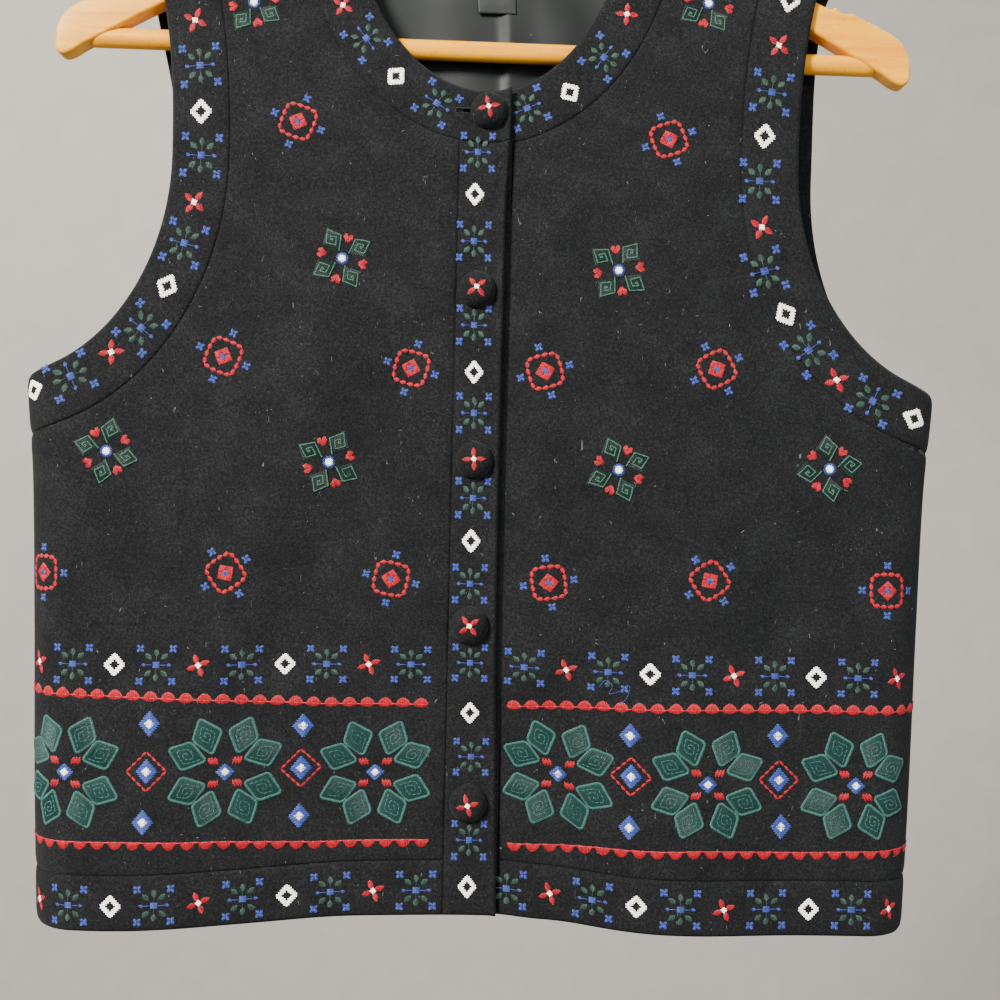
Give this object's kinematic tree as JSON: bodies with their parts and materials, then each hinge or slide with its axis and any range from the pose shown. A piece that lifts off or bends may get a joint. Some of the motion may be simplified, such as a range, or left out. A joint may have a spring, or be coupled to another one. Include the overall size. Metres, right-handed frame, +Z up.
{
  "type": "embroidered wool vest on a wooden hanger",
  "caption": "Sleeveless round-necked wool vest, buttoned in front, edged with bands and embroidered with folk flowers, hanging flat on a wooden coat hanger.",
  "frame": {"origin": "inside the top of the hanger's hook, where a rod touches it", "axes": "+Z up, -Y the way the front faces, +X towards the wearer's left side"},
  "size_m": [0.4738, 0.0654, 0.6322],
  "materials": {
    "wool": "matte felted wool, nearly black",
    "lining": "grey-green satin",
    "label": "woven tape",
    "tab": "satin tape",
    "button": "wool-covered dome",
    "beech": "clear satin varnish",
    "steel": "bright zinc",
    "thread_blue": "rayon embroidery thread",
    "thread_green": "rayon embroidery thread",
    "thread_teal": "rayon embroidery thread",
    "thread_red": "rayon embroidery thread",
    "thread_white": "rayon embroidery thread"
  },
  "bodies": {
    "root": {"front_right": "wool", "front_left": "wool", "back": "wool", "placket_right": "wool", "placket_left": "wool", "neck_band_right": "wool", "neck_band_left": "wool", "neck_band_back": "wool", "armhole_band_right_front": "wool", "armhole_band_left_front": "wool", "armhole_band_right_back": "wool", "armhole_band_left_back": "wool", "hem_band_right": "wool", "hem_band_left": "wool", "hem_band_back": "wool", "back_lining": "lining", "neck_label": "label", "neck_tab": "tab", "button_1": "button", "button_2": "button", "button_3": "button", "button_4": "button", "button_5": "button", "hanger_body": "beech", "hanger_bar": "beech", "hanger_hook": "steel"}
  },
  "joints": []
}
